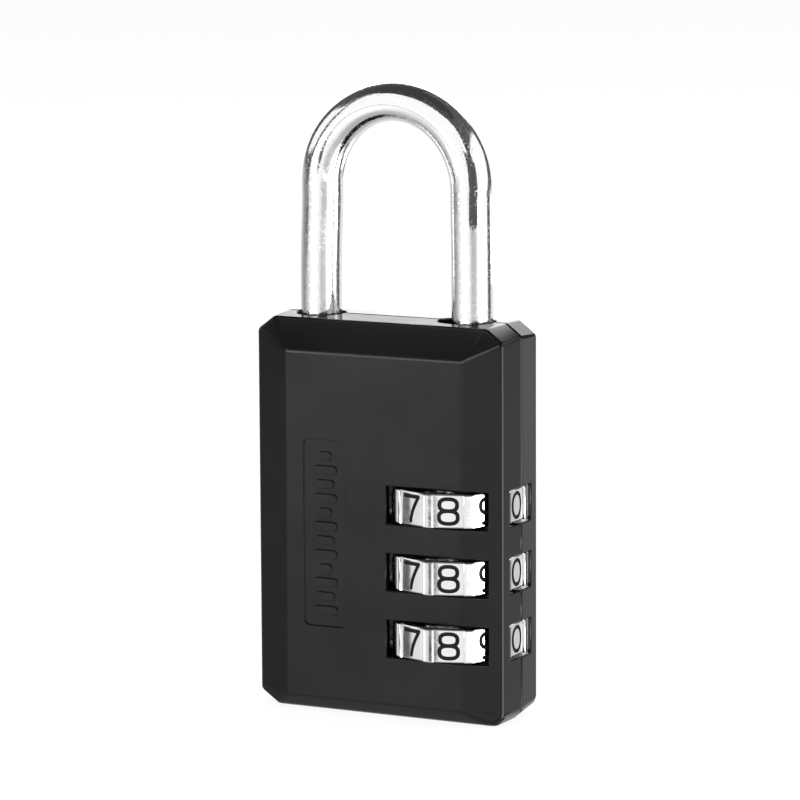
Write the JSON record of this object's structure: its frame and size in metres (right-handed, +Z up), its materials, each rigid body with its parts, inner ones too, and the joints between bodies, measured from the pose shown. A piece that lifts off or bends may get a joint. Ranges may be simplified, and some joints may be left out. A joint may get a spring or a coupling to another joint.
{
  "type": "luggage combination padlock",
  "caption": "Luggage padlock with a black bevelled metal body, a round bright steel shackle and resettable number dials read from the side.",
  "frame": {"origin": "centre of the flat base of the body", "axes": "+Z up along the legs of the shackle, -Y out of the front panel, +X towards the side on which the dials are read"},
  "size_m": [0.03, 0.0148, 0.0686],
  "materials": {
    "black_paint": "satin",
    "shackle_chrome": "bright plated",
    "dial_chrome": "bright plated, digits filled black",
    "dark_zinc": "die-cast, black passivated",
    "brass": "turned",
    "steel": "zinc plated",
    "spring_steel": "bright drawn"
  },
  "bodies": {
    "case": {"front_case": "black_paint", "rear_case": "black_paint", "case_pin_upper_left": "steel", "case_pin_lower_left": "steel", "case_pin_upper_right": "steel", "case_pin_lower_right": "steel", "top_bush": "brass", "bottom_bush": "brass", "detent_spring": "spring_steel", "sleeve_spring": "spring_steel"},
    "shackle_set": {"shackle": "shackle_chrome", "heel_coupling": "steel", "spindle": "steel"},
    "top_wheel": {"dial_top": "dial_chrome"},
    "middle_wheel": {"dial_middle": "dial_chrome"},
    "bottom_wheel": {"dial_bottom": "dial_chrome"},
    "bottom_code_sleeve": {"sleeve_bottom": "dark_zinc", "thrust_washer": "steel"},
    "middle_code_sleeve": {"sleeve_middle": "dark_zinc"},
    "top_code_sleeve": {"sleeve_top": "dark_zinc"}
  },
  "joints": [
    {"name": "shackle_lift", "type": "slide", "parent": "case", "child": "shackle_set", "axis": [0, 0, 1], "range_m": [0, 0.00735]},
    {"name": "dial_top_turn", "type": "hinge", "parent": "case", "child": "top_wheel", "pos_m": [0.00735, 0, 0.0237], "axis": [0, 0, 1], "continuous": true},
    {"name": "dial_middle_turn", "type": "hinge", "parent": "case", "child": "middle_wheel", "pos_m": [0.00735, 0, 0.01635], "axis": [0, 0, 1], "continuous": true},
    {"name": "dial_bottom_turn", "type": "hinge", "parent": "case", "child": "bottom_wheel", "pos_m": [0.00735, 0, 0.009], "axis": [0, 0, 1], "continuous": true},
    {"name": "sleeve_bottom_shift", "type": "slide", "parent": "bottom_wheel", "child": "bottom_code_sleeve", "axis": [0, 0, 1], "range_m": [-0.0013, 0], "stiffness_N_per_m": 300, "springref_m": 0.0015, "deforming": ["sleeve_spring"]},
    {"name": "sleeve_middle_shift", "type": "slide", "parent": "middle_wheel", "child": "middle_code_sleeve", "axis": [0, 0, 1], "range_m": [-0.0013, 0]},
    {"name": "sleeve_top_shift", "type": "slide", "parent": "top_wheel", "child": "top_code_sleeve", "axis": [0, 0, 1], "range_m": [-0.0013, 0]}
  ],
  "couplings": [
    {"joint": "sleeve_middle_shift", "follows": "sleeve_bottom_shift", "ratio": 1},
    {"joint": "sleeve_top_shift", "follows": "sleeve_bottom_shift", "ratio": 1}
  ]
}
